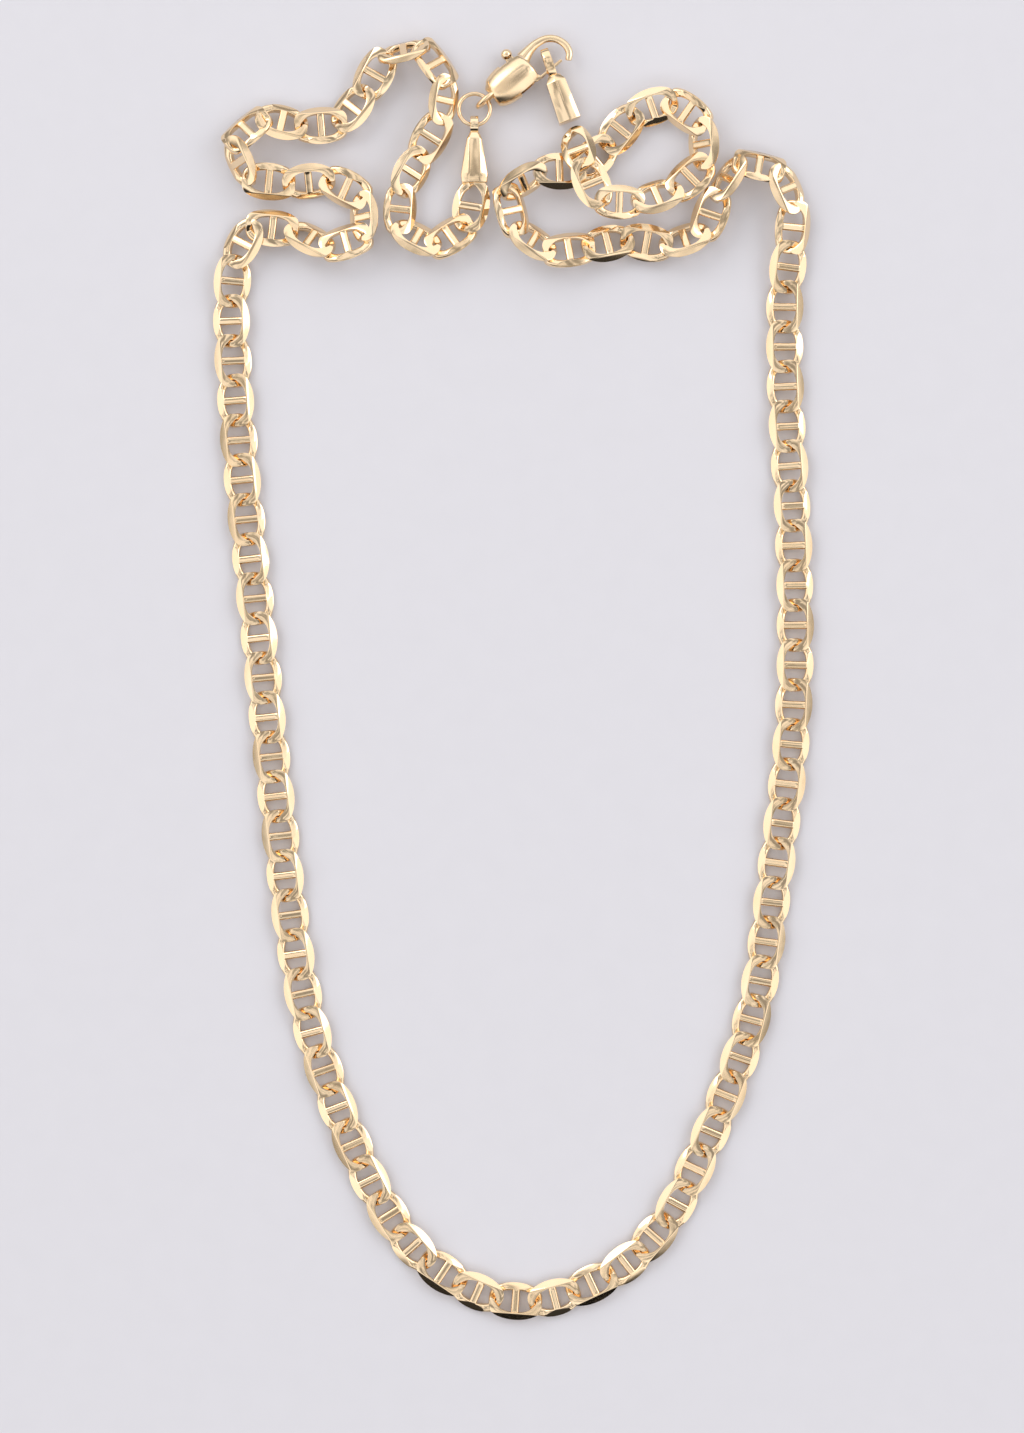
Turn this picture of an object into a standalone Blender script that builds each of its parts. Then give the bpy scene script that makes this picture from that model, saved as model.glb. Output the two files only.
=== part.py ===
"""Flat mariner chain necklace with a lobster clasp, lying in a long loop with both ends gathered up.

Metres, +Z up. The origin is at the middle of the loop on the surface that the necklace lies on.
Lengths below are in millimetres and angles in degrees; MM turns them into metres.
"""

import math

import bmesh
import bpy
from mathutils import Matrix, Vector

MM = 0.001

# Driving dimensions of one link, an oval ring with a bar across its middle.
PITCH = 4.68
RING_HALF_LENGTH = 2.75
RING_HALF_WIDTH = 1.9
WIRE_WIDTH = 0.46
WIRE_THICKNESS = 0.38
TILT_RISE = 0.90
HALF_HEIGHT = 0.70
BAR_WIDTH = 0.60
BAR_THICKNESS = 0.30
BAR_REACH = 0.94
RING_SIDES = 12
BRIDGE_WIDTH = 0.30
BRIDGE_OVERLAP = 0.05

# The chain's course from the left end cap to the right one: x, y, lift, roll. Roll 0 lies flat and
# 90 stands on edge; lift is the free height under the chain, where it passes over another stretch.
LINK_COUNT = 104
MIDDLE = (0.05, 0.43)
ROUTE = [
    (-4.5, 58, 0.8, 0),
    (-5, 54, 0.7, 0),
    (-8, 51, 0.5, 20),
    (-13, 52, 0.4, 30),
    (-13, 58, 0.4, 20),
    (-10, 63, 0.4, 20),
    (-8, 67, 0.4, 30),
    (-8, 71, 0.4, 40),
    (-12, 75, 0.4, 40),
    (-16, 72, 0.4, 20),
    (-19, 66, 0.4, 0),
    (-25, 65, 0.4, 10),
    (-31, 66, 0.4, 30),
    (-33, 61, 0.4, 40),
    (-29, 58, 0.4, 30),
    (-22, 59, 0.4, 10),
    (-17, 56, 0.4, 30),
    (-18, 51, 0.4, 40),
    (-23, 51, 0.4, 20),
    (-28, 54, 0.4, 10),
    (-32, 52, 0.4, 10),
    (-33, 46, 0.3, 0),
    (-33, 40, 0.1, 0),
    (-32, 26, 0.03, 0),
    (-30, 7, 0, 0),
    (-28, -12, 0, 0),
    (-25, -35, 0, 0),
    (-21, -49, 0, 0),
    (-15, -62, 0, 0),
    (-9, -69, 0, 0),
    (0, -73, 0, 0),
    (9, -71, 0, 0),
    (16, -66, 0, 0),
    (21, -58, 0, 0),
    (28, -40, 0, 0),
    (31, -21, 0, 0),
    (33, -3, 0, 0),
    (33, 16, 0.03, 0),
    (32, 34, 0.1, 0),
    (32, 47, 0.3, 0),
    (33, 54, 0.4, 20),
    (32, 59, 0.4, 30),
    (27, 61, 0.4, 40),
    (24, 57, 0.4, 30),
    (22, 52, 0.4, 20),
    (17, 51, 0.4, 10),
    (12, 52, 0.4, 0),
    (6, 50, 0.4, 20),
    (1, 52, 0.7, 30),
    (-1, 57, 0.8, 40),
    (4, 60, 0.8, 20),
    (9, 60, 0.5, 0),
    (12, 64, 0.4, 0),
    (16, 68, 0.4, 20),
    (21, 67, 0.4, 30),
    (23, 62, 0.4, 30),
    (20, 58, 0.8, 20),
    (15, 56, 2.0, 0),
    (10, 56, 3.2, 0),
    (8, 61, 2.8, 0),
    (7.1, 64.2, 0.8, 0),
]

# End caps: a flat strap eye at the neck, and a mouth with a gap in front of the chain's last link.
CAP_HEIGHT = 1.7
CAP_RIDGE = 0.25
CAP_BEVEL = 0.4
CAP_TAPER = 0.8
MOUTH_SCALE = 0.94
NECK_SCALE = 0.6
CAP_LEFT_LENGTH = 5.4
CAP_LEFT_MOUTH = 3.2
CAP_LEFT_NECK = 1.8
CAP_LEFT_PANEL = 1.25
CAP_RIGHT_LENGTH = 6.0
CAP_RIGHT_MOUTH = 2.6
CAP_RIGHT_NECK = 2.3
CAP_RIGHT_PANEL = 0.2
CAP_RIGHT_ANGLE = 20
EYE_RADIUS = 0.95
EYE_WIDTH = 1.0
EYE_THICKNESS = 0.34
EYE_SIDES = 14
EYE_OVERLAP = 0.10
LONG_EYE = 1.75
GAP = 0.3

# Jump ring and clasp. The clasp lies along X from its tail eye to its hook.
JUMP_RING_RADIUS = 1.87
JUMP_RING_WIRE = 0.30
CLASP_ANGLE = 40
CLASP_FLATNESS = 0.70
CLASP_EYE = 0.75
CLASP_EYE_RADIUS = 1.05
CLASP_EYE_WIRE = 0.28
CLASP_EYE_STRETCH = 1.3
SLOT_WIDTH = 1.4
SLOT_START = 4.2
SLOT_END = 6.9
GATE_SLOT_END = 8.0
GATE_SLOT_TOP = -0.2
SLOT_LAP = 0.3
THROUGH = 4.0
PIVOT = (5.6, -0.2)
PIN_RADIUS = 0.30
PIN_HALF_LENGTH = 1.3
PIN_HOLE_RADIUS = 0.40

# Lever of the clasp, given about its pivot: the gate and the thumb ball.
LEVER_THICKNESS = 0.50
LEVER_MID_HEIGHT = -0.25
GATE_LOW = -2.15
GATE_HIGH = -1.65
GATE_END = 4.85
GATE_MIDDLE = 3.2
GATE_IN_EYE = 0.65
THUMB_X = 0.3
THUMB_Y = 2.75
THUMB_RADIUS = 0.65

# Spring round the pivot pin, above the lever.
SPRING_WIRE = 0.09
SPRING_RADIUS = 0.62
SPRING_RISE = 0.32
SPRING_GAP = 0.06
SPRING_TURNS = 2
SPRING_STEPS = 12

GOLD = (0.86, 0.66, 0.36)
STEEL = (0.60, 0.60, 0.58)
LINK_ROUGHNESS = 0.22
FITTING_ROUGHNESS = 0.25


def material(name, colour, roughness):
    """A plain metal with its own colour."""
    mat = bpy.data.materials.new(name)
    mat.use_nodes = True
    shader = mat.node_tree.nodes["Principled BSDF"]
    shader.inputs["Base Color"].default_value = (*colour, 1)
    shader.inputs["Metallic"].default_value = 1.0
    shader.inputs["Roughness"].default_value = roughness
    return mat


def new_object(name, mesh, frame, mat):
    """Put a mesh, given in millimetres about its own origin, into the scene at a frame."""
    mesh.transform(Matrix.Scale(MM, 4))
    obj = bpy.data.objects.new(name, mesh)
    bpy.context.collection.objects.link(obj)
    obj.location = frame.to_translation() * MM
    obj.rotation_euler = frame.to_euler()
    mesh.materials.append(mat)
    return obj


def mesh_from(vertices, faces):
    """A closed mesh with its faces turned outwards."""
    mesh = bpy.data.meshes.new("shape")
    mesh.from_pydata(vertices, [], faces)
    bm = bmesh.new()
    bm.from_mesh(mesh)
    bmesh.ops.recalc_face_normals(bm, faces=bm.faces)
    bm.to_mesh(mesh)
    bm.free()
    return mesh


def swept(sections, closed):
    """Skin over a row of equal-sided sections, joined end to start or capped at both ends."""
    sides = len(sections[0])
    count = len(sections)
    vertices = [point for section in sections for point in section]
    faces = []
    for i in range(count if closed else count - 1):
        j = (i + 1) % count
        for k in range(sides):
            m = (k + 1) % sides
            faces.append((i * sides + k, i * sides + m, j * sides + m, j * sides + k))
    if not closed:
        faces.append(tuple(range(sides)))
        faces.append(tuple(range((count - 1) * sides, count * sides)))
    return mesh_from(vertices, faces)


def tube(points, radii, sides=8, closed=False):
    """A round tube through points, with its own radius at each of them."""
    points = [Vector(p) for p in points]
    count = len(points)
    sections = []
    side = None
    for i, point in enumerate(points):
        after = points[(i + 1) % count] if closed else points[min(i + 1, count - 1)]
        before = points[i - 1] if closed or i else points[0]
        along = (after - before).normalized()
        reference = side if side is not None else along.orthogonal()
        side = (reference - along * reference.dot(along)).normalized()
        other = along.cross(side)
        turns = [2 * math.pi * (k + 0.5) / sides for k in range(sides)]
        sections.append(
            [point + radii[i] * (math.cos(a) * side + math.sin(a) * other) for a in turns]
        )
    return swept(sections, closed)


def hoop(centre, axis, radius, wire, count=16, sides=6, stretch=1.0):
    """A ring of wire about an axis, stretched along X for an oval one."""
    axis = Vector(axis).normalized()
    side = axis.orthogonal().normalized()
    other = axis.cross(side)
    turns = [2 * math.pi * i / count for i in range(count)]
    points = [radius * (math.cos(a) * side + math.sin(a) * other) for a in turns]
    points = [Vector(centre) + Vector((p.x * stretch, p.y, p.z)) for p in points]
    return tube(points, [wire] * count, sides, closed=True)


def box(low, high):
    """A box between two corners."""
    rows = [(y, z) for z in (low[2], high[2]) for y in (low[1], high[1])]
    corners = [(x, y, z) for y, z in rows for x in (low[0], high[0])]
    faces = [(0, 2, 3, 1), (4, 5, 7, 6), (0, 1, 5, 4), (2, 6, 7, 3), (0, 4, 6, 2), (1, 3, 7, 5)]
    return mesh_from(corners, faces)


def combine(base, others, operation):
    """The base mesh with the others added to it or cut from it."""
    result = base
    for other in others:
        holder = bpy.data.objects.new("base", result)
        tool = bpy.data.objects.new("tool", other)
        bpy.context.collection.objects.link(holder)
        bpy.context.collection.objects.link(tool)
        modifier = holder.modifiers.new("combine", "BOOLEAN")
        modifier.operation = operation
        modifier.solver = "EXACT"
        modifier.object = tool
        bpy.context.view_layer.update()
        depsgraph = bpy.context.evaluated_depsgraph_get()
        result = bpy.data.meshes.new_from_object(holder.evaluated_get(depsgraph))
        bpy.data.objects.remove(holder)
        bpy.data.objects.remove(tool)
    return result


def rail_height():
    """The height of the wire's middle where a side rail lies against a ground face."""
    return HALF_HEIGHT - WIRE_THICKNESS / 2


def link_mesh():
    """One link along X: the ring rises to one side and levels off where its faces are ground flat."""
    sections = []
    for i in range(RING_SIDES):
        a = 2 * math.pi * (i + 0.5) / RING_SIDES
        middle = Vector((RING_HALF_LENGTH * math.cos(a), RING_HALF_WIDTH * math.sin(a), 0))
        outward = Vector(
            (RING_HALF_WIDTH * math.cos(a), RING_HALF_LENGTH * math.sin(a), 0)
        ).normalized()
        z = max(-rail_height(), min(rail_height(), TILT_RISE * math.sin(a)))
        low = z - WIRE_THICKNESS / 2
        high = z + WIRE_THICKNESS / 2
        inner = middle - outward * WIRE_WIDTH / 2
        outer = middle + outward * WIRE_WIDTH / 2
        sections.append(
            [
                (inner.x, inner.y, low),
                (outer.x, outer.y, low),
                (outer.x, outer.y, high),
                (inner.x, inner.y, high),
            ]
        )
    ring = swept(sections, closed=True)
    half = BAR_WIDTH / 2
    ends = []
    for side in (-1, 1):
        y = side * RING_HALF_WIDTH * BAR_REACH
        low = side * rail_height() - BAR_THICKNESS / 2
        high = side * rail_height() + BAR_THICKNESS / 2
        ends.append([(-half, y, low), (half, y, low), (half, y, high), (-half, y, high)])
    bar = swept(ends, closed=False)
    return combine(ring, [bar], "UNION")


def catmull_rom(a, b, c, d, t):
    """A point between b and c on the smooth curve through a, b, c and d."""
    return 0.5 * (
        2 * b + (c - a) * t + (2 * a - 5 * b + 4 * c - d) * t**2 + (3 * b - a - 3 * c + d) * t**3
    )


def half_thickness(roll):
    """Half the height of a link that is rolled by an angle."""
    edge = RING_HALF_WIDTH + WIRE_WIDTH / 2
    return edge * math.sin(math.radians(roll)) + HALF_HEIGHT * math.cos(math.radians(roll))


def course_point(x, y, lift, roll):
    """A point of the course about the part's own origin, with the chain's roll there."""
    height = max(0, lift) + half_thickness(roll)
    return Vector((x - MIDDLE[0], y - MIDDLE[1], height)), roll


def fine_route(steps=60):
    """The route as a dense row of (place, roll) on one smooth curve."""
    points = [Vector(p) for p in ROUTE]
    points = [2 * points[0] - points[1], *points, 2 * points[-1] - points[-2]]
    row = []
    for i in range(1, len(points) - 2):
        for k in range(steps):
            p = catmull_rom(points[i - 1], points[i], points[i + 1], points[i + 2], k / steps)
            row.append(course_point(*p))
    row.append(course_point(*points[-2]))
    return row


def walk(row, pitch):
    """Places one pitch apart along a dense row."""
    places = [row[0]]
    for place, roll in row:
        step = place - places[-1][0]
        if step.length >= pitch:
            places.append((places[-1][0] + step.normalized() * pitch, roll))
    return places


def joint_places():
    """Places where each link hooks into the next, with the pitch that ends on the route's end."""
    row = fine_route()
    low, high = 0.9 * PITCH, 1.1 * PITCH
    for _ in range(40):
        pitch = (low + high) / 2
        if len(walk(row, pitch)) > LINK_COUNT:
            low = pitch
        else:
            high = pitch
    return walk(row, low)[: LINK_COUNT + 1]


def link_frame(start, end, roll):
    """A frame midway between two joints: X along the link, Z its upper face, rolled about X."""
    along = (end - start).normalized()
    across = Vector((0, 0, 1)).cross(along).normalized()
    up = along.cross(across)
    turned = Matrix((along, across, up)).transposed() @ Matrix.Rotation(math.radians(roll), 3, "X")
    frame = turned.to_4x4()
    frame.translation = (start + end) / 2
    return frame


def link_frames(places):
    """The frame of every link; each second one is turned over end to end, so its tilt is opposite.

    The roll changes only inside a pair, so that no moving joint is twisted.
    """
    frames = []
    for i in range(len(places) - 1):
        roll = places[i + i % 2][1]
        frame = link_frame(places[i][0], places[i + 1][0], roll)
        if i % 2:
            frame = frame @ Matrix.Rotation(math.pi, 4, "Y")
        frames.append(frame)
    return frames


def root_pair(places):
    """The pair at the bottom of the loop, from which both sides hang."""
    lowest = min(range(len(places)), key=lambda i: places[i][0].y)
    return lowest // 2


def pair_joint(pair, root, places, frames):
    """The frame of the joint that carries a pair: at its end towards the root."""
    if pair < root:
        index, link = 2 * pair + 2, 2 * pair + 1
    elif pair > root:
        index, link = 2 * pair, 2 * pair
    else:
        index, link = 2 * pair + 1, 2 * pair
    frame = frames[link].copy()
    if link % 2:
        frame = frame @ Matrix.Rotation(math.pi, 4, "Y")
    frame.translation = places[index][0]
    return frame


def pair_name(pair):
    """The node name of a pair, counted from the left end cap."""
    return f"link_pair_{pair + 1:02d}"


def make_pairs(places, frames):
    """Neighbouring links joined two and two by a small bridge between their end wires."""
    single = link_mesh()
    root = root_pair(places)
    for pair in range(len(frames) // 2):
        origin = pair_joint(pair, root, places, frames)
        to_local = origin.inverted()
        meshes = []
        for link in (2 * pair, 2 * pair + 1):
            mesh = single.copy()
            mesh.transform(to_local @ frames[link])
            meshes.append(mesh)
        hook = link_frame(frames[2 * pair].translation, frames[2 * pair + 1].translation, 0)
        half = BRIDGE_WIDTH / 2
        reach = RING_HALF_LENGTH - PITCH / 2 + BRIDGE_OVERLAP
        bridge = box((-reach, -half, -half / 2), (reach, half, half / 2))
        hook.translation = places[2 * pair + 1][0]
        bridge.transform(to_local @ hook)
        mesh = combine(meshes[0], [bridge, meshes[1]], "UNION")
        name = pair_name(pair)
        new_object(name, mesh, origin, material(name, GOLD, LINK_ROUGHNESS))


def eye_distance(length, stretch):
    """From a cap's mouth to the middle of its eye."""
    return length + EYE_RADIUS * stretch - EYE_OVERLAP


def strap_eye(middle, stretch):
    """A flat strap bent into a loop that stands on edge, stretched along X."""
    sections = []
    for i in range(EYE_SIDES):
        a = 2 * math.pi * (i + 0.5) / EYE_SIDES
        centre = Vector((EYE_RADIUS * stretch * math.cos(a), 0, EYE_RADIUS * math.sin(a)))
        outward = Vector((math.cos(a), 0, stretch * math.sin(a))).normalized()
        inner = Vector(middle) + centre - outward * EYE_THICKNESS / 2
        outer = Vector(middle) + centre + outward * EYE_THICKNESS / 2
        side = Vector((0, EYE_WIDTH / 2, 0))
        sections.append([inner - side, outer - side, outer + side, inner + side])
    return swept(sections, closed=True)


def cap_mesh(length, mouth, neck, panel, stretch):
    """An end cap along +X from its mouth: bevelled sides, a raised panel, an eye at its neck."""
    stations = [
        (0, MOUTH_SCALE * mouth, MOUTH_SCALE),
        (CAP_BEVEL, mouth, 1),
        (length - CAP_TAPER, neck, 1),
        (length, NECK_SCALE * neck, NECK_SCALE),
    ]
    sections = []
    for x, width, scale in stations:
        half = width / 2
        flat = panel / 2 * min(1, width / neck)
        edge = CAP_HEIGHT / 2 * scale
        top = edge + CAP_RIDGE
        sections.append(
            [(x, -half, -edge), (x, half, -edge), (x, half, edge)]
            + [(x, flat, top), (x, -flat, top), (x, -half, edge)]
        )
    body = swept(sections, closed=False)
    eye = strap_eye((eye_distance(length, stretch), 0, 0), stretch)
    return combine(body, [eye], "UNION")


def clasp_body_mesh():
    """The clasp's body and hook in one sweep, with a slot for the lever and an eye at its tail."""
    outline = [
        (1.9, 0.0, 1.00),
        (2.9, -0.1, 1.70),
        (4.6, -0.2, 2.10),
        (6.2, -0.2, 1.95),
        (7.2, 0.4, 1.15),
        (8.3, 1.1, 0.66),
        (9.4, 1.2, 0.50),
        (10.6, 0.9, 0.46),
        (11.5, 0.1, 0.44),
        (11.9, -1.0, 0.43),
        (11.7, -2.0, 0.42),
        (11.0, -2.7, 0.40),
    ]
    body = tube([(x, y, 0) for x, y, _ in outline], [r for *_, r in outline], 12)
    body.transform(Matrix.Diagonal((1, 1, CLASP_FLATNESS, 1)))
    tail = (CLASP_EYE, 0, 0)
    eye = hoop(tail, (0, 1, 0), CLASP_EYE_RADIUS, CLASP_EYE_WIRE, 14, stretch=CLASP_EYE_STRETCH)
    body = combine(body, [eye], "UNION")
    half = SLOT_WIDTH / 2
    slot = box((SLOT_START, -THROUGH, -half), (SLOT_END, THROUGH, half))
    gate_slot = box((SLOT_END - SLOT_LAP, -THROUGH, -half), (GATE_SLOT_END, GATE_SLOT_TOP, half))
    hole = tube([(*PIVOT, -THROUGH), (*PIVOT, THROUGH)], [PIN_HOLE_RADIUS] * 2, 12)
    return combine(body, [slot, gate_slot, hole], "DIFFERENCE")


def lever_mesh():
    """The lever about its pivot: the gate runs to the hook's tip, the thumb ball out at the back."""
    low = LEVER_MID_HEIGHT - LEVER_THICKNESS / 2
    high = LEVER_MID_HEIGHT + LEVER_THICKNESS / 2
    gate = [(-0.9, -0.6), (1.0, -2.0), (1.7, GATE_LOW), (GATE_END, GATE_LOW)]
    gate += [(GATE_END, GATE_HIGH), (1.8, GATE_HIGH)]
    thumb = [(0.8, 0.2), (THUMB_X + 0.4, THUMB_Y), (THUMB_X - 0.4, THUMB_Y)]
    outline = gate + thumb
    mesh = swept([[(x, y, z) for x, y in outline] for z in (low, high)], closed=False)
    turns = [math.radians(a) for a in (-70, -40, 0, 40, 70)]
    middles = [(THUMB_X, THUMB_Y + THUMB_RADIUS * math.sin(a), LEVER_MID_HEIGHT) for a in turns]
    ball = tube(middles, [THUMB_RADIUS * math.cos(a) for a in turns], 10)
    mesh = combine(mesh, [ball], "UNION")
    hole = tube([(0, 0, -THROUGH), (0, 0, THROUGH)], [PIN_HOLE_RADIUS] * 2, 12)
    return combine(mesh, [hole], "DIFFERENCE")


def spring_mesh():
    """Wire wound round the pin, above the lever."""
    count = SPRING_TURNS * SPRING_STEPS
    bottom = LEVER_MID_HEIGHT + LEVER_THICKNESS / 2 + SPRING_WIRE + SPRING_GAP
    points = []
    for i in range(count + 1):
        a = 2 * math.pi * i / SPRING_STEPS
        height = bottom + SPRING_RISE * i / count
        points.append((SPRING_RADIUS * math.cos(a), SPRING_RADIUS * math.sin(a), height))
    return tube(points, [SPRING_WIRE] * len(points), 4)


def gate_middle():
    """The middle of the gate, where the right cap's eye hangs, in the clasp's own frame."""
    return Vector((PIVOT[0] + GATE_MIDDLE, PIVOT[1] + (GATE_LOW + GATE_HIGH) / 2, 0))


def fitting_frames(places):
    """Frames of the cap, ring, clasp and other cap, each placed from the one before."""
    cap_left = Matrix.Rotation(math.pi / 2, 4, "Z")
    mouth = RING_HALF_LENGTH - PITCH / 2 + WIRE_WIDTH / 2 + GAP
    cap_left.translation = places[0][0] + Vector((0, mouth, 0))
    ring = Matrix.Translation(cap_left @ Vector((eye_distance(CAP_LEFT_LENGTH, 1), 0, 0)))
    ring = Matrix.Translation(Vector((0, JUMP_RING_RADIUS, 0))) @ ring
    clasp = ring @ Matrix.Rotation(math.radians(CLASP_ANGLE), 4, "Z")
    clasp = clasp @ Matrix.Translation(Vector((JUMP_RING_RADIUS - CLASP_EYE, 0, 0)))
    cap_right = Matrix.Rotation(math.radians(90 + CAP_RIGHT_ANGLE), 4, "Z")
    to_gate = Vector((eye_distance(CAP_RIGHT_LENGTH, LONG_EYE) - GATE_IN_EYE, 0, 0))
    cap_right.translation = clasp @ gate_middle() - cap_right @ to_gate
    return cap_left, ring, clasp, cap_right


def make_fittings(places):
    """The end caps, the jump ring and the clasp's pieces."""
    cap_left, ring, clasp, cap_right = fitting_frames(places)
    pivot = clasp @ Matrix.Translation(Vector((*PIVOT, 0)))
    ring_mesh = hoop((0, 0, 0), (0, 0, 1), JUMP_RING_RADIUS, JUMP_RING_WIRE, 24, 6)
    pin = tube([(0, 0, -PIN_HALF_LENGTH), (0, 0, PIN_HALF_LENGTH)], [PIN_RADIUS] * 2, 10)
    left_mesh = cap_mesh(CAP_LEFT_LENGTH, CAP_LEFT_MOUTH, CAP_LEFT_NECK, CAP_LEFT_PANEL, 1)
    right_mesh = cap_mesh(
        CAP_RIGHT_LENGTH, CAP_RIGHT_MOUTH, CAP_RIGHT_NECK, CAP_RIGHT_PANEL, LONG_EYE
    )
    pieces = [
        ("end_cap_left", left_mesh, cap_left, GOLD),
        ("jump_ring", ring_mesh, ring, GOLD),
        ("clasp_body", clasp_body_mesh(), clasp, GOLD),
        ("clasp_trigger", lever_mesh(), pivot, GOLD),
        ("trigger_pivot_pin", pin, pivot, GOLD),
        ("trigger_spring", spring_mesh(), pivot, STEEL),
        ("end_cap_right", right_mesh, cap_right, GOLD),
    ]
    for name, mesh, frame, colour in pieces:
        new_object(name, mesh, frame, material(name, colour, FITTING_ROUGHNESS))


def main():
    """The whole necklace in an emptied scene."""
    for obj in list(bpy.data.objects):
        bpy.data.objects.remove(obj)
    places = joint_places()
    make_pairs(places, link_frames(places))
    make_fittings(places)
    bpy.context.view_layer.update()


main()
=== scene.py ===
"""Looks of the mariner chain necklace: every link, the end caps, the ring and the clasp in polished gold.

Sizes are in millimetres and angles in degrees until a mesh or a place is handed to Blender, in metres.
"""

import math

import bmesh
import bpy
from mathutils import Matrix, Vector


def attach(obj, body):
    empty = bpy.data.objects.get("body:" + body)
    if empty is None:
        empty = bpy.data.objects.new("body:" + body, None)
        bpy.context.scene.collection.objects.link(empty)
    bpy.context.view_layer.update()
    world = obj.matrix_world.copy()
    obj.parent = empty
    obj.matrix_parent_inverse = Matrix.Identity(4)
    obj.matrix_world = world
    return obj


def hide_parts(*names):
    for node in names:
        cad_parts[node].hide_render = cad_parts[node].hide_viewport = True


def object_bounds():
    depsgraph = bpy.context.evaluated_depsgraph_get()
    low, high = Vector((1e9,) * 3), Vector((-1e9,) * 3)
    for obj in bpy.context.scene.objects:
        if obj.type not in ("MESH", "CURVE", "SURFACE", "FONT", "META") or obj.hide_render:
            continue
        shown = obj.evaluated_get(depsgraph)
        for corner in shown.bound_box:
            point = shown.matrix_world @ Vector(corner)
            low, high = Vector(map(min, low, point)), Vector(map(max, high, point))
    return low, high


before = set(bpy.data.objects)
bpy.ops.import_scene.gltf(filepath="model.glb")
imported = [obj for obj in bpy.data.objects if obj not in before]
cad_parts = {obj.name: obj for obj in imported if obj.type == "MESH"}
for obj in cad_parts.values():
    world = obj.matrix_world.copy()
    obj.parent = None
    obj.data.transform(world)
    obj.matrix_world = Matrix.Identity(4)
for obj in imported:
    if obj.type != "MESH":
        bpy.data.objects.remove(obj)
cad_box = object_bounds()

MM = 0.001

# One link, with the frame's pitch and a fuller wire. The fuller wire has a fault: neighbouring links
# cut into each other at rest, by 0.17 to 0.44 mm at the deepest place of each pair.
PITCH = 4.68
RING_HALF_LENGTH = 2.75
RING_HALF_WIDTH = 1.70
OUTLINE_POWER = 0.92
HALF_HEIGHT = 0.70
END_RISE = 0.1              # before grinding, the wire's ends stand this much above the flat faces
END_HALF_WIDTH = 0.40
RAIL_EXTRA_WIDTH = 0.07
LOW_RAIL_TOP = 0.16
UNDER_HEIGHT = -0.03
BAR_HALF_WIDTH = 0.46
BAR_HALF_HEIGHT = 0.40
BAR_RISE = 0.25
SQUARENESS = 0.60
OVER_HEIGHT = 0.35
SHOULDER = 0.12
FACET_START = 1.38
FACET_SLANT = 28
EDGE_ROUNDING = 0.035
SHARP_ANGLE = 28
LINK_TILT = 2.2
LINK_WOBBLE = 2.2
WOBBLE_STEP = 2.4           # radians from one link to the next
LYING_HEIGHT = 1.3          # links whose joints are lower than this lie on the table and tilt

# Some links come close to another piece when a joint swings, or to the top of the frame's box, so
# they are a little smaller.
CLOSE_LINKS = (4, 7, 19, 102, 104)
CLOSE_SCALE = (0.96, 0.92, 0.80)

# The chain's course, as in the frame: x, y, lift, roll. CAD_EDGE is half the width of a frame link.
CAD_EDGE = 2.13
LINK_COUNT = 104
MIDDLE = (0.05, 0.43)
ROUTE = [
    (-4.5, 58, 0.8, 0),
    (-5, 54, 0.7, 0),
    (-8, 51, 0.5, 20),
    (-13, 52, 0.4, 30),
    (-13, 58, 0.4, 20),
    (-10, 63, 0.4, 20),
    (-8, 67, 0.4, 30),
    (-8, 71, 0.4, 40),
    (-12, 75, 0.4, 40),
    (-16, 72, 0.4, 20),
    (-19, 66, 0.4, 0),
    (-25, 65, 0.4, 10),
    (-31, 66, 0.4, 30),
    (-33, 61, 0.4, 40),
    (-29, 58, 0.4, 30),
    (-22, 59, 0.4, 10),
    (-17, 56, 0.4, 30),
    (-18, 51, 0.4, 40),
    (-23, 51, 0.4, 20),
    (-28, 54, 0.4, 10),
    (-32, 52, 0.4, 10),
    (-33, 46, 0.3, 0),
    (-33, 40, 0.1, 0),
    (-32, 26, 0.03, 0),
    (-30, 7, 0, 0),
    (-28, -12, 0, 0),
    (-25, -35, 0, 0),
    (-21, -49, 0, 0),
    (-15, -62, 0, 0),
    (-9, -69, 0, 0),
    (0, -73, 0, 0),
    (9, -71, 0, 0),
    (16, -66, 0, 0),
    (21, -58, 0, 0),
    (28, -40, 0, 0),
    (31, -21, 0, 0),
    (33, -3, 0, 0),
    (33, 16, 0.03, 0),
    (32, 34, 0.1, 0),
    (32, 47, 0.3, 0),
    (33, 54, 0.4, 20),
    (32, 59, 0.4, 30),
    (27, 61, 0.4, 40),
    (24, 57, 0.4, 30),
    (22, 52, 0.4, 20),
    (17, 51, 0.4, 10),
    (12, 52, 0.4, 0),
    (6, 50, 0.4, 20),
    (1, 52, 0.7, 30),
    (-1, 57, 0.8, 40),
    (4, 60, 0.8, 20),
    (9, 60, 0.5, 0),
    (12, 64, 0.4, 0),
    (16, 68, 0.4, 20),
    (21, 67, 0.4, 30),
    (23, 62, 0.4, 30),
    (20, 58, 0.8, 20),
    (15, 56, 2.0, 0),
    (10, 56, 3.2, 0),
    (8, 61, 2.8, 0),
    (7.1, 64.2, 0.8, 0),
]

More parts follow.
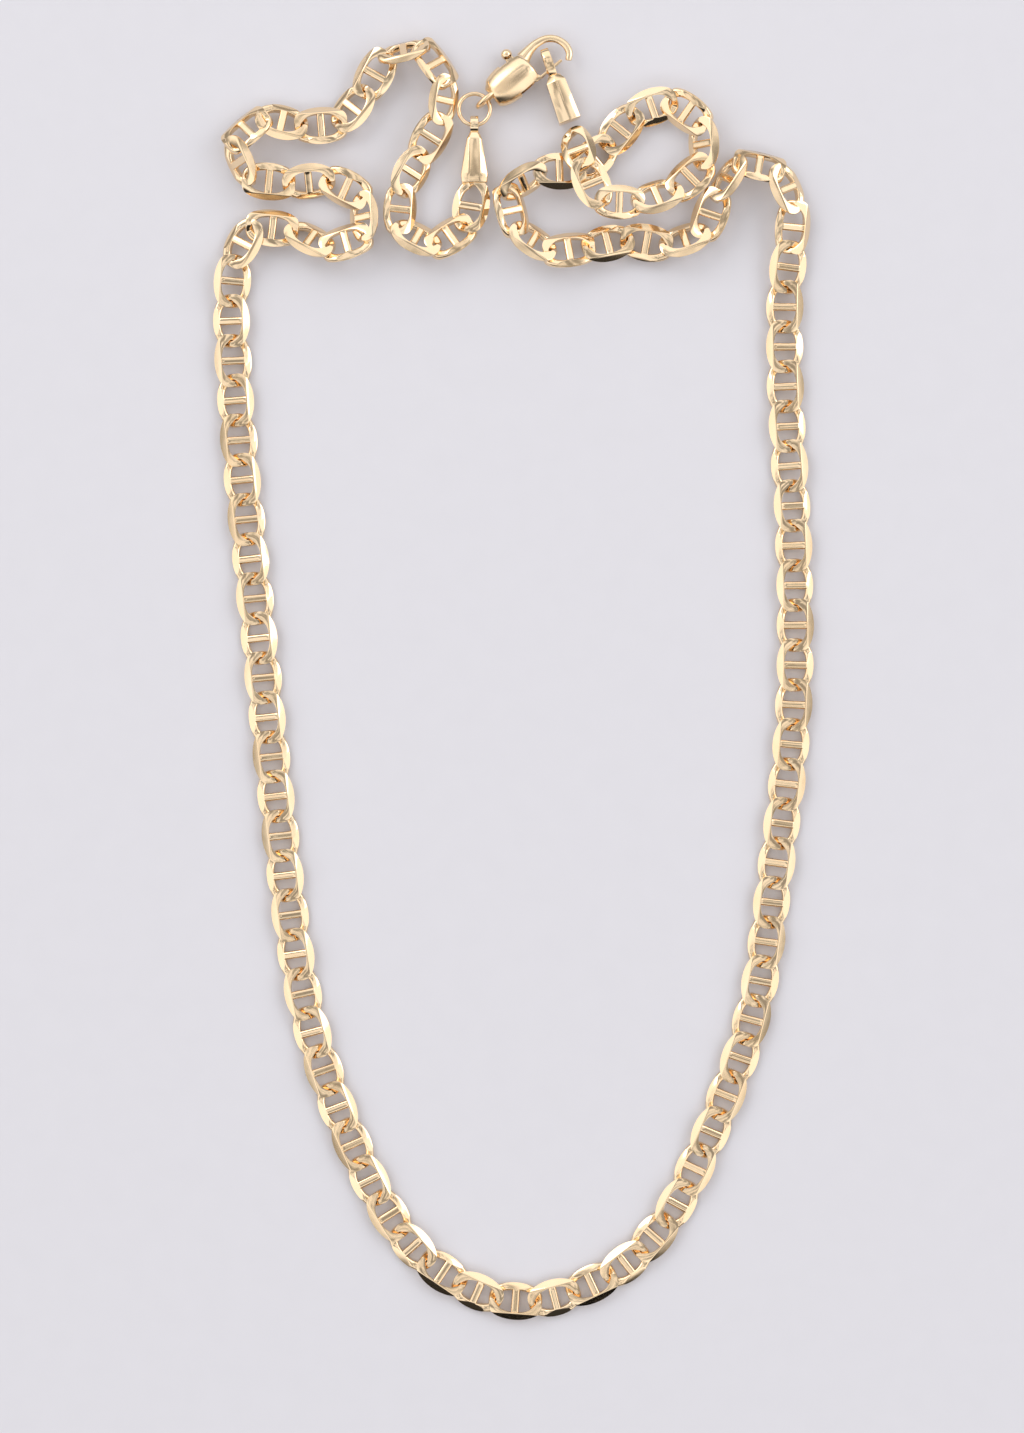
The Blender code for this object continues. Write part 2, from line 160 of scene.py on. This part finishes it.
# End caps, placed as in the frame, with fuller straps and their own mouths.
CAP_GAP = 0.94
CAP_HEIGHT = 1.7
CAP_RIDGE = 0.25
CAP_BEVEL = 0.4
CAP_TAPER = 0.8
MOUTH_SCALE = 0.94
MOUTH_START_LEFT = -0.55    # this cap is fixed to its link, and holds its end
MOUTH_START_RIGHT = 0.35    # this one swings free of the chain, with room for the motion
NECK_SCALE = 0.6
CAP_ROUNDING = 0.12
CAP_LEFT_LENGTH = 5.4
CAP_LEFT_MOUTH = 3.2
CAP_LEFT_NECK = 1.8
CAP_LEFT_PANEL = 1.25
CAP_RIGHT_LENGTH = 6.0
CAP_RIGHT_MOUTH = 2.6
CAP_RIGHT_NECK = 2.3
CAP_RIGHT_PANEL = 0.2
CAP_RIGHT_ANGLE = 20
EYE_RADIUS = 0.95
EYE_WIDTH = 0.96
EYE_THICKNESS = 0.32
EYE_SIDES = 72
EYE_ROUNDING = 0.09
EYE_OVERLAP = 0.10
LONG_EYE = 1.75

# Jump ring and clasp, placed as in the frame. The clasp lies along X from its tail eye to its hook.
JUMP_RING_RADIUS = 1.87
JUMP_RING_WIRE = 0.25
JUMP_RING_TRIM = 0.03       # the visible ring is this much smaller in radius
CLASP_ANGLE = 40
CLASP_FLATNESS = 0.67
CLASP_SQUARENESS = 0.85
CLASP_EYE = 0.75
CLASP_EYE_RADIUS = 1.05
CLASP_EYE_WIRE = 0.28
CLASP_EYE_STRETCH = 1.3
SLOT_WIDTH = 1.4
SLOT_START = 4.2
SLOT_END = 6.9
GATE_SLOT_END = 8.0
GATE_SLOT_TOP = -0.2
SLOT_LAP = 0.3
THROUGH = 4.0
PIVOT = (5.6, -0.2)

# Lever of the clasp, given about its pivot: the gate and the thumb ball.
LEVER_THICKNESS = 0.50
LEVER_MID_HEIGHT = -0.25
LEVER_ROUNDING = 0.10
GATE_LOW = -2.15
GATE_HIGH = -1.65
GATE_SLIMMING = 0.08        # taken off each side of the visible gate
GATE_END = 4.85
GATE_MIDDLE = 3.2
GATE_IN_EYE = 0.65
THUMB_X = 0.3
THUMB_Y = 2.75
THUMB_RADIUS = 0.65

GOLD = (0.97, 0.79, 0.55)
GOLD_DEEP = (0.92, 0.66, 0.38)
STEEL = (0.58, 0.58, 0.56)
FLOOR = (0.71, 0.705, 0.745)
FLOOR_SIZE = 1.5            # metres from the middle to a side
FLOOR_DROP = 0.00002        # metres below the frame's lowest point

# The tent's light by direction: where each change starts and ends, and the strengths there.
FRONT_DARK = (-0.79, -0.64, 0.03, 1.0)
LOW_DARK = (0.10, 0.34, 0.25, 1.0)
OVERHEAD = (0.72, 0.92, 0.0, 1.0)
PANELS = (0.40, 0.60, 0.34, 1.06)
PANEL_SCALE = 4.5
BAND_LIGHT = 1.3

# The camera looks straight down and sees this much of the table from top to bottom.
CAMERA_PLACE = (-0.15, -4.53)
VIEW_HEIGHT = 168.6


def metal(name, light, dark, roughness, scratch):
    """Polished metal: colour that drifts a little, fine scratches and cloudy wear in the polish."""
    mat = bpy.data.materials.new(name)
    mat.use_nodes = True
    nodes = mat.node_tree.nodes
    links = mat.node_tree.links
    shader = nodes["Principled BSDF"]
    shader.inputs["Metallic"].default_value = 1.0
    place = nodes.new("ShaderNodeTexCoord")
    cloud = nodes.new("ShaderNodeTexNoise")
    cloud.inputs["Scale"].default_value = 260
    cloud.inputs["Detail"].default_value = 4
    grain = nodes.new("ShaderNodeTexNoise")
    grain.inputs["Scale"].default_value = 4200
    grain.inputs["Detail"].default_value = 3
    dents = nodes.new("ShaderNodeTexNoise")
    dents.inputs["Scale"].default_value = 700
    dents.inputs["Detail"].default_value = 1
    tint = nodes.new("ShaderNodeMix")
    tint.data_type = "RGBA"
    tint.inputs["A"].default_value = (*light, 1)
    tint.inputs["B"].default_value = (*dark, 1)
    polish = nodes.new("ShaderNodeMapRange")
    polish.inputs["From Min"].default_value = 0.3
    polish.inputs["From Max"].default_value = 0.7
    polish.inputs["To Min"].default_value = roughness * 0.6
    polish.inputs["To Max"].default_value = roughness * 1.5
    waves = nodes.new("ShaderNodeBump")
    waves.inputs["Strength"].default_value = 0.22
    waves.inputs["Distance"].default_value = 0.00006
    bump = nodes.new("ShaderNodeBump")
    bump.inputs["Strength"].default_value = scratch
    bump.inputs["Distance"].default_value = 0.00001
    for noise in (cloud, grain, dents):
        links.new(place.outputs["Object"], noise.inputs["Vector"])
    links.new(cloud.outputs["Fac"], tint.inputs["Factor"])
    links.new(tint.outputs["Result"], shader.inputs["Base Color"])
    links.new(cloud.outputs["Fac"], polish.inputs["Value"])
    links.new(polish.outputs["Result"], shader.inputs["Roughness"])
    links.new(dents.outputs["Fac"], waves.inputs["Height"])
    links.new(grain.outputs["Fac"], bump.inputs["Height"])
    links.new(waves.outputs["Normal"], bump.inputs["Normal"])
    links.new(bump.outputs["Normal"], shader.inputs["Normal"])
    return mat


def paper(name, colour):
    """The pale matt surface that the necklace lies on."""
    mat = bpy.data.materials.new(name)
    mat.use_nodes = True
    nodes = mat.node_tree.nodes
    shader = nodes["Principled BSDF"]
    shader.inputs["Roughness"].default_value = 0.85
    noise = nodes.new("ShaderNodeTexNoise")
    noise.inputs["Scale"].default_value = 900
    tint = nodes.new("ShaderNodeMix")
    tint.data_type = "RGBA"
    tint.inputs["A"].default_value = (*colour, 1)
    tint.inputs["B"].default_value = (*(0.97 * c for c in colour), 1)
    mat.node_tree.links.new(noise.outputs["Fac"], tint.inputs["Factor"])
    mat.node_tree.links.new(tint.outputs["Result"], shader.inputs["Base Color"])
    return mat


def mesh_from(vertices, faces):
    """A mesh with its faces turned outwards."""
    mesh = bpy.data.meshes.new("shape")
    mesh.from_pydata(vertices, [], faces)
    bm = bmesh.new()
    bm.from_mesh(mesh)
    bmesh.ops.recalc_face_normals(bm, faces=bm.faces)
    bm.to_mesh(mesh)
    bm.free()
    return mesh


def swept(sections, closed):
    """Skin over a row of equal-sided sections, joined end to start or capped at both ends."""
    sides = len(sections[0])
    count = len(sections)
    faces = []
    for i in range(count if closed else count - 1):
        j = (i + 1) % count
        for k in range(sides):
            m = (k + 1) % sides
            faces.append((i * sides + k, i * sides + m, j * sides + m, j * sides + k))
    if not closed:
        faces.append(tuple(range(sides)))
        faces.append(tuple(range((count - 1) * sides, count * sides)))
    return mesh_from([point for section in sections for point in section], faces)


def tube(points, radii, sides=20, closed=False, squareness=1):
    """A tube through points, with its own radius at each of them, round or a little boxy."""
    points = [Vector(p) for p in points]
    count = len(points)
    turns = [2 * math.pi * (k + 0.5) / sides for k in range(sides)]
    sections = []
    side = None
    for i, point in enumerate(points):
        after = points[(i + 1) % count] if closed else points[min(i + 1, count - 1)]
        before = points[i - 1] if closed or i else points[0]
        along = (after - before).normalized()
        reference = side if side is not None else along.orthogonal()
        side = (reference - along * reference.dot(along)).normalized()
        other = along.cross(side)
        sections.append(
            [
                point
                + radii[i] * signed_power(math.cos(a), squareness) * side
                + radii[i] * signed_power(math.sin(a), squareness) * other
                for a in turns
            ]
        )
    return swept(sections, closed)


def hoop(centre, axis, radius, wire, stretch=1.0, count=64, sides=16):
    """A ring of wire about an axis, stretched along X for an oval one."""
    axis = Vector(axis).normalized()
    side = axis.orthogonal().normalized()
    other = axis.cross(side)
    points = []
    for i in range(count):
        a = 2 * math.pi * i / count
        p = radius * (math.cos(a) * side + math.sin(a) * other)
        points.append(Vector(centre) + Vector((p.x * stretch, p.y, p.z)))
    return tube(points, [wire] * count, sides, closed=True)


def box(low, high):
    """A box between two corners."""
    rows = [(y, z) for z in (low[2], high[2]) for y in (low[1], high[1])]
    corners = [(x, y, z) for y, z in rows for x in (low[0], high[0])]
    faces = [(0, 2, 3, 1), (4, 5, 7, 6), (0, 1, 5, 4), (2, 6, 7, 3), (0, 4, 6, 2), (1, 3, 7, 5)]
    return mesh_from(corners, faces)


def combine(base, other, operation):
    """The base mesh with another added to it, cut from it or kept in common with it."""
    holder = bpy.data.objects.new("base", base)
    tool = bpy.data.objects.new("tool", other)
    bpy.context.collection.objects.link(holder)
    bpy.context.collection.objects.link(tool)
    modifier = holder.modifiers.new("combine", "BOOLEAN")
    modifier.operation = operation
    modifier.solver = "EXACT"
    modifier.object = tool
    bpy.context.view_layer.update()
    depsgraph = bpy.context.evaluated_depsgraph_get()
    result = bpy.data.meshes.new_from_object(holder.evaluated_get(depsgraph))
    bpy.data.objects.remove(holder)
    bpy.data.objects.remove(tool)
    return result


def softened(mesh, width, angle=30):
    """The mesh with its sharp edges rounded by a small bevel."""
    holder = bpy.data.objects.new("base", mesh)
    bpy.context.collection.objects.link(holder)
    bevel = holder.modifiers.new("bevel", "BEVEL")
    bevel.width = width
    bevel.segments = 3
    bevel.limit_method = "ANGLE"
    bevel.angle_limit = math.radians(angle)
    bpy.context.view_layer.update()
    depsgraph = bpy.context.evaluated_depsgraph_get()
    result = bpy.data.meshes.new_from_object(holder.evaluated_get(depsgraph))
    bpy.data.objects.remove(holder)
    return result


def add_piece(name, mesh, place, mat, body, nodes):
    """A visible piece, from a mesh in millimetres about its own origin."""
    mesh = mesh.copy()
    mesh.transform(Matrix.Scale(MM, 4) @ place)
    mesh.materials.clear()
    mesh.materials.append(mat)
    mesh.shade_smooth()
    mesh.set_sharp_from_angle(angle=math.radians(SHARP_ANGLE))
    obj = bpy.data.objects.new(name, mesh)
    bpy.context.collection.objects.link(obj)
    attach(obj, body)
    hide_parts(*nodes)


def signed_power(value, power):
    """A power of a number that keeps its sign."""
    return math.copysign(abs(value) ** power, value)


def ease(value, low, high):
    """Rises smoothly from 0 at low to 1 at high."""
    t = min(max((value - low) / (high - low), 0), 1)
    return t * t * (3 - 2 * t)


def ground_solid():
    """The solid that a link is ground down to: flat above and below, with slanted sides."""
    slant = math.radians(FACET_SLANT)
    planes = [
        (0, HALF_HEIGHT, 0),
        (FACET_START, HALF_HEIGHT, slant),
        (-FACET_START, LOW_RAIL_TOP, -slant),
    ]
    bm = bmesh.new()
    bmesh.ops.create_cube(bm, size=20)
    half_turn = Matrix.Rotation(math.pi, 3, "X")
    for y, z, angle in planes:
        place = Vector((0, y, z))
        normal = Vector((0, math.sin(angle), math.cos(angle)))
        for side in (Matrix.Identity(3), half_turn):
            cut = bmesh.ops.bisect_plane(
                bm,
                geom=bm.verts[:] + bm.edges[:] + bm.faces[:],
                plane_co=side @ place,
                plane_no=side @ normal,
                clear_outer=True,
            )
            edges = [e for e in cut["geom_cut"] if isinstance(e, bmesh.types.BMEdge)]
            bmesh.ops.edgeloop_fill(bm, edges=edges)
    bmesh.ops.recalc_face_normals(bm, faces=bm.faces)
    mesh = bpy.data.meshes.new("ground")
    bm.to_mesh(mesh)
    bm.free()
    return mesh


def wire_top(side):
    """Height of the wire's top where side runs from -1 on the low rail to 1 on the high rail."""
    end_top = HALF_HEIGHT + END_RISE
    if side >= 0:
        return end_top + (OVER_HEIGHT - END_RISE) * ease(side, 0, 0.3)
    dive = ease(-side, 0, 0.5)
    low_rail = ease(-side, 0.8, 1)
    return end_top * (1 - dive) + UNDER_HEIGHT * (dive - low_rail) + LOW_RAIL_TOP * low_rail


def rounded_section(middle, across, half_width, low, high, sides):
    """A boxy rounded section between two heights, about a middle line."""
    half = (high - low) / 2
    section = []
    for k in range(sides):
        b = 2 * math.pi * (k + 0.5) / sides
        sideways = half_width * signed_power(math.cos(b), SQUARENESS)
        up = (high + low) / 2 + half * signed_power(math.sin(b), SQUARENESS)
        section.append(Vector((middle.x, middle.y, up)) + across * sideways)
    return section


def link_mesh():
    """One link: oval wire that rises to one side, a bar across it, and its faces ground flat."""
    count = 80
    sections = []
    for i in range(count):
        a = 2 * math.pi * i / count
        side = signed_power(math.sin(a), OUTLINE_POWER)
        middle = Vector((RING_HALF_LENGTH * signed_power(math.cos(a), OUTLINE_POWER), 0, 0))
        middle.y = RING_HALF_WIDTH * side
        across = Vector(
            (RING_HALF_WIDTH * math.cos(a), RING_HALF_LENGTH * math.sin(a), 0)
        ).normalized()
        half_width = END_HALF_WIDTH + RAIL_EXTRA_WIDTH * side**2
        half_width += SHOULDER * math.sin(math.pi * abs(side)) ** 2
        sections.append(
            rounded_section(middle, across, half_width, -wire_top(-side), wire_top(side), 24)
        )
    ring = swept(sections, closed=True)
    sections = []
    for i in range(9):
        share = i / 4 - 1
        middle = Vector((0, RING_HALF_WIDTH * share, 0))
        rise = BAR_RISE * share
        low, high = rise - BAR_HALF_HEIGHT, rise + BAR_HALF_HEIGHT
        sections.append(rounded_section(middle, Vector((1, 0, 0)), BAR_HALF_WIDTH, low, high, 24))
    bar = swept(sections, closed=False)
    ground = combine(combine(ring, bar, "UNION"), ground_solid(), "INTERSECT")
    return softened(ground, EDGE_ROUNDING, 32)


def half_thickness(roll):
    """Half the height of a link that is rolled by an angle."""
    return CAD_EDGE * math.sin(math.radians(roll)) + HALF_HEIGHT * math.cos(math.radians(roll))


def course_point(x, y, lift, roll):
    """A point of the course about the part's own origin, with the chain's roll there."""
    height = max(0, lift) + half_thickness(roll)
    return Vector((x - MIDDLE[0], y - MIDDLE[1], height)), roll


def catmull_rom(a, b, c, d, t):
    """A point between b and c on the smooth curve through a, b, c and d."""
    return 0.5 * (
        2 * b + (c - a) * t + (2 * a - 5 * b + 4 * c - d) * t**2 + (3 * b - a - 3 * c + d) * t**3
    )


def fine_route(steps=60):
    """The route as a dense row of (place, roll) on one smooth curve."""
    points = [Vector(p) for p in ROUTE]
    points = [2 * points[0] - points[1], *points, 2 * points[-1] - points[-2]]
    row = []
    for i in range(1, len(points) - 2):
        for k in range(steps):
            p = catmull_rom(points[i - 1], points[i], points[i + 1], points[i + 2], k / steps)
            row.append(course_point(*p))
    row.append(course_point(*points[-2]))
    return row


def walk(row, pitch):
    """Steps of one pitch along a dense row."""
    places = [row[0]]
    for place, roll in row:
        step = place - places[-1][0]
        if step.length >= pitch:
            places.append((places[-1][0] + step.normalized() * pitch, roll))
    return places


def joint_places():
    """Places where each link hooks into the next, with the pitch that ends on the route's end."""
    row = fine_route()
    low, high = 0.9 * PITCH, 1.1 * PITCH
    for _ in range(40):
        pitch = (low + high) / 2
        if len(walk(row, pitch)) > LINK_COUNT:
            low = pitch
        else:
            high = pitch
    return walk(row, low)[: LINK_COUNT + 1]


def link_frame(start, end, roll):
    """A frame midway between two joints: X along the link, Z its upper face, rolled about X."""
    along = (end - start).normalized()
    across = Vector((0, 0, 1)).cross(along).normalized()
    up = along.cross(across)
    turned = Matrix((along, across, up)).transposed() @ Matrix.Rotation(math.radians(roll), 3, "X")
    result = turned.to_4x4()
    result.translation = (start + end) / 2
    return result


def make_chain(places, mat):
    """Every link on its own; each second one is turned over, with its slants the other way."""
    shape = link_mesh()
    for i in range(LINK_COUNT):
        tilt = LINK_TILT * (1 if i % 2 else -1) + LINK_WOBBLE * math.sin(WOBBLE_STEP * i)
        if max(places[i][0].z, places[i + 1][0].z) > LYING_HEIGHT:
            tilt = 0
        place = link_frame(places[i][0], places[i + 1][0], places[i + i % 2][1] + tilt)
        if i % 2:
            place = place @ Matrix.Rotation(math.pi, 4, "Y")
        if i + 1 in CLOSE_LINKS:
            place = place @ Matrix.Diagonal((*CLOSE_SCALE, 1))
        pair = f"link_pair_{i // 2 + 1:02d}"
        add_piece(f"link_{i + 1:03d}", shape, place, mat, pair, [pair])


def eye_distance(length, stretch):
    """From a cap's mouth to the middle of its eye."""
    return length + EYE_RADIUS * stretch - EYE_OVERLAP


def strap_eye(middle, stretch):
    """A flat strap bent into a loop that stands on edge, stretched along X."""
    sections = []
    for i in range(EYE_SIDES):
        a = 2 * math.pi * (i + 0.5) / EYE_SIDES
        centre = Vector((EYE_RADIUS * stretch * math.cos(a), 0, EYE_RADIUS * math.sin(a)))
        outward = Vector((math.cos(a), 0, stretch * math.sin(a))).normalized()
        inner = Vector(middle) + centre - outward * EYE_THICKNESS / 2
        outer = Vector(middle) + centre + outward * EYE_THICKNESS / 2
        side = Vector((0, EYE_WIDTH / 2, 0))
        sections.append([inner - side, outer - side, outer + side, inner + side])
    return softened(swept(sections, closed=True), EYE_ROUNDING)


def cap_mesh(start, length, mouth, neck, panel, stretch):
    """An end cap along +X from its mouth: bevelled sides, a raised panel, an eye at its neck."""
    stations = [
        (start, MOUTH_SCALE * mouth, MOUTH_SCALE),
        (CAP_BEVEL, mouth, 1),
        (length - CAP_TAPER, neck, 1),
        (length, NECK_SCALE * neck, NECK_SCALE),
    ]
    sections = []
    for x, width, scale in stations:
        half = width / 2
        flat = panel / 2 * min(1, width / neck)
        edge = CAP_HEIGHT / 2 * scale
        top = edge + CAP_RIDGE
        sections.append(
            [(x, -half, -edge), (x, half, -edge), (x, half, edge)]
            + [(x, flat, top), (x, -flat, top), (x, -half, edge)]
        )
    body = softened(swept(sections, closed=False), CAP_ROUNDING, 8)
    eye = strap_eye((eye_distance(length, stretch), 0, 0), stretch)
    return combine(body, eye, "UNION")


def smooth_outline(outline, steps=8):
    """More points on the smooth curve through an outline of (x, y, radius)."""
    points = [Vector(p) for p in outline]
    points = [2 * points[0] - points[1], *points, 2 * points[-1] - points[-2]]
    row = []
    for i in range(1, len(points) - 2):
        for k in range(steps):
            row.append(
                catmull_rom(points[i - 1], points[i], points[i + 1], points[i + 2], k / steps)
            )
    row.append(points[-2])
    return row


def clasp_mesh():
    """The clasp's body and hook, with its slot and tail eye."""
    body_outline = [
        (1.42, 0.0, 0.70),
        (1.52, 0.0, 1.25),
        (1.9, -0.05, 1.70),
        (2.9, -0.15, 2.02),
        (4.4, -0.2, 2.15),
        (6.1, -0.25, 2.10),
        (6.8, -0.3, 1.95),
        (7.1, -0.3, 1.75),
        (7.2, -0.3, 1.35),
    ]
    hook_outline = [
        (5.6, 0.5, 0.95),
        (6.6, 0.8, 0.90),
        (7.4, 1.0, 0.75),
        (8.4, 1.2, 0.56),
        (9.4, 1.25, 0.46),
        (10.6, 0.95, 0.42),
        (11.5, 0.15, 0.41),
        (11.9, -1.0, 0.40),
        (11.7, -2.0, 0.39),
        (11.1, -2.6, 0.35),
        (11.0, -2.7, 0.18),
    ]
    parts = []
    for outline in (body_outline, hook_outline):
        row = smooth_outline(outline)
        radii = [p.z for p in row]
        part = tube([(p.x, p.y, 0) for p in row], radii, 40, squareness=CLASP_SQUARENESS)
        part.transform(Matrix.Diagonal((1, 1, CLASP_FLATNESS, 1)))
        parts.append(part)
    body = combine(*parts, "UNION")
    half = SLOT_WIDTH / 2
    slot = box((SLOT_START, -THROUGH, -half), (SLOT_END, THROUGH, half))
    gate_slot = box((SLOT_END - SLOT_LAP, -THROUGH, -half), (GATE_SLOT_END, GATE_SLOT_TOP, half))
    body = combine(combine(body, slot, "DIFFERENCE"), gate_slot, "DIFFERENCE")
    eye = hoop((CLASP_EYE, 0, 0), (0, 1, 0), CLASP_EYE_RADIUS, CLASP_EYE_WIRE, CLASP_EYE_STRETCH)
    return combine(body, eye, "UNION")


def lever_mesh():
    """The lever about its pivot: the gate towards the hook's tip, and the thumb ball at the back."""
    low = LEVER_MID_HEIGHT - LEVER_THICKNESS / 2
    high = LEVER_MID_HEIGHT + LEVER_THICKNESS / 2
    under = GATE_LOW + GATE_SLIMMING
    over = GATE_HIGH - GATE_SLIMMING
    gate = [(-0.9, -0.6), (1.0, -2.0), (1.7, under), (GATE_END, under), (GATE_END, over), (1.8, over)]
    thumb = [(0.8, 0.2), (THUMB_X + 0.4, THUMB_Y), (THUMB_X - 0.4, THUMB_Y)]
    plate = swept([[(x, y, z) for x, y in gate + thumb] for z in (low, high)], closed=False)
    plate = softened(plate, LEVER_ROUNDING)
    turns = [math.radians(a) for a in range(-80, 81, 10)]
    middles = [(THUMB_X, THUMB_Y + THUMB_RADIUS * math.sin(a), LEVER_MID_HEIGHT) for a in turns]
    ball = tube(middles, [THUMB_RADIUS * math.cos(a) for a in turns], 28)
    return combine(plate, ball, "UNION")


def gate_middle():
    """The middle of the gate, where the right cap's eye hangs, in the clasp's own frame."""
    return Vector((PIVOT[0] + GATE_MIDDLE, PIVOT[1] + (GATE_LOW + GATE_HIGH) / 2, 0))


def make_fittings(places, mat, satin):
    """The end caps, the jump ring and the clasp, each placed from the one before."""
    cap_left = Matrix.Rotation(math.pi / 2, 4, "Z")
    cap_left.translation = places[0][0] + Vector((0, CAP_GAP, 0))
    ring = Matrix.Translation(cap_left @ Vector((eye_distance(CAP_LEFT_LENGTH, 1), 0, 0)))
    ring = Matrix.Translation(Vector((0, JUMP_RING_RADIUS, 0))) @ ring
    clasp = ring @ Matrix.Rotation(math.radians(CLASP_ANGLE), 4, "Z")
    clasp = clasp @ Matrix.Translation(Vector((JUMP_RING_RADIUS - CLASP_EYE, 0, 0)))
    cap_right = Matrix.Rotation(math.radians(90 + CAP_RIGHT_ANGLE), 4, "Z")
    to_gate = Vector((eye_distance(CAP_RIGHT_LENGTH, LONG_EYE) - GATE_IN_EYE, 0, 0))
    cap_right.translation = clasp @ gate_middle() - cap_right @ to_gate
    pivot = clasp @ Matrix.Translation(Vector((*PIVOT, 0)))
    loop = hoop((0, 0, 0), (0, 0, 1), JUMP_RING_RADIUS - JUMP_RING_TRIM, JUMP_RING_WIRE)
    left = cap_mesh(
        MOUTH_START_LEFT, CAP_LEFT_LENGTH, CAP_LEFT_MOUTH, CAP_LEFT_NECK, CAP_LEFT_PANEL, 1
    )
    right = cap_mesh(
        MOUTH_START_RIGHT, CAP_RIGHT_LENGTH, CAP_RIGHT_MOUTH, CAP_RIGHT_NECK, CAP_RIGHT_PANEL,
        LONG_EYE,
    )
    pieces = [
        ("cap_left_shell", left, cap_left, mat, "link_pair_01", "end_cap_left"),
        ("jump_ring_loop", loop, ring, mat, "jump_ring", "jump_ring"),
        ("clasp_shell", clasp_mesh(), clasp, satin, "clasp_body", "clasp_body"),
        ("clasp_gate", lever_mesh(), pivot, mat, "clasp_trigger", "clasp_trigger"),
        ("cap_right_shell", right, cap_right, mat, "end_cap_right", "end_cap_right"),
    ]
    for name, mesh, place, look, body, node in pieces:
        add_piece(name, mesh, place, look, body, [node])


def make_floor(mat):
    """A wide pale surface at the height that the necklace rests on."""
    mesh = bpy.data.meshes.new("floor")
    far = FLOOR_SIZE
    corners = [(-far, -far, 0), (far, -far, 0), (far, far, 0), (-far, far, 0)]
    mesh.from_pydata(corners, [], [(0, 1, 2, 3)])
    obj = bpy.data.objects.new("floor", mesh)
    bpy.context.collection.objects.link(obj)
    obj.location.z = cad_box[0][2] - FLOOR_DROP
    mesh.materials.append(mat)


def area_light(name, place, size, power, colour):
    """A soft square light that looks at the necklace."""
    data = bpy.data.lights.new(name, "AREA")
    data.size = size
    data.energy = power
    data.color = colour
    obj = bpy.data.objects.new(name, data)
    bpy.context.collection.objects.link(obj)
    obj.location = place
    obj.rotation_euler = (-Vector(place)).to_track_quat("-Z", "Y").to_euler()


def smooth_step(nodes, links, source, change):
    """A node that takes a number smoothly from one value to another."""
    low, high, at_low, at_high = change
    node = nodes.new("ShaderNodeMapRange")
    node.interpolation_type = "SMOOTHSTEP"
    node.inputs["From Min"].default_value = low
    node.inputs["From Max"].default_value = high
    node.inputs["To Min"].default_value = at_low
    node.inputs["To Max"].default_value = at_high
    links.new(source, node.inputs["Value"])
    return node.outputs["Result"]


def maths(nodes, links, operation, a, b):
    """A node that joins two numbers, each a fixed one or another node's output."""
    node = nodes.new("ShaderNodeMath")
    node.operation = operation
    for value, socket in ((a, node.inputs[0]), (b, node.inputs[1])):
        if isinstance(value, (int, float)):
            socket.default_value = value
        else:
            links.new(value, socket)
    return node.outputs["Value"]


def make_light():
    """A bright studio tent, with uneven panels overhead, a dark front and a dim low edge."""
    world = bpy.data.worlds.new("tent")
    bpy.context.scene.world = world
    world.use_nodes = True
    nodes = world.node_tree.nodes
    links = world.node_tree.links
    place = nodes.new("ShaderNodeTexCoord")
    split = nodes.new("ShaderNodeSeparateXYZ")
    links.new(place.outputs["Generated"], split.inputs["Vector"])
    front = smooth_step(nodes, links, split.outputs["Y"], FRONT_DARK)
    low = smooth_step(nodes, links, split.outputs["Z"], LOW_DARK)
    overhead = smooth_step(nodes, links, split.outputs["Z"], OVERHEAD)
    noise = nodes.new("ShaderNodeTexNoise")
    noise.inputs["Scale"].default_value = PANEL_SCALE
    noise.inputs["Detail"].default_value = 2
    links.new(place.outputs["Generated"], noise.inputs["Vector"])
    panels = smooth_step(nodes, links, noise.outputs["Fac"], PANELS)
    change = maths(nodes, links, "SUBTRACT", panels, BAND_LIGHT)
    upper = maths(nodes, links, "MULTIPLY", change, overhead)
    upper = maths(nodes, links, "ADD", upper, BAND_LIGHT)
    edge = maths(nodes, links, "MULTIPLY", front, low)
    strength = maths(nodes, links, "MULTIPLY", edge, upper)
    links.new(strength, nodes["Background"].inputs["Strength"])
    nodes["Background"].inputs["Color"].default_value = (1.0, 0.985, 0.99, 1)
    area_light("key", (-0.40, 0.42, 0.45), 0.35, 0.7, (1.0, 0.99, 0.97))
    area_light("fill", (0.50, 0.20, 0.40), 0.30, 0.4, (0.97, 0.98, 1.0))


def make_camera():
    """A camera straight above, with the loop filling the upright frame."""
    data = bpy.data.cameras.new("camera")
    data.lens = 85
    data.sensor_width = 36
    data.sensor_fit = "VERTICAL"
    data.sensor_height = 36
    height = VIEW_HEIGHT * data.lens / data.sensor_height
    obj = bpy.data.objects.new("camera", data)
    bpy.context.collection.objects.link(obj)
    obj.location = Vector((*CAMERA_PLACE, height)) * MM
    bpy.context.scene.camera = obj


gold = metal("polished_gold", GOLD, GOLD_DEEP, 0.09, 0.12)
satin_gold = metal("worn_gold", GOLD, GOLD_DEEP, 0.20, 0.30)
steel = metal("spring_wire", STEEL, STEEL, 0.25, 0.20)
chain_places = joint_places()
make_chain(chain_places, gold)
make_fittings(chain_places, gold, satin_gold)
for node, look in (("trigger_spring", steel), ("trigger_pivot_pin", satin_gold)):
    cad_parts[node].data.materials.clear()
    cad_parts[node].data.materials.append(look)
make_floor(paper("table", FLOOR))
make_light()
make_camera()
bpy.context.scene.view_settings.view_transform = "Standard"
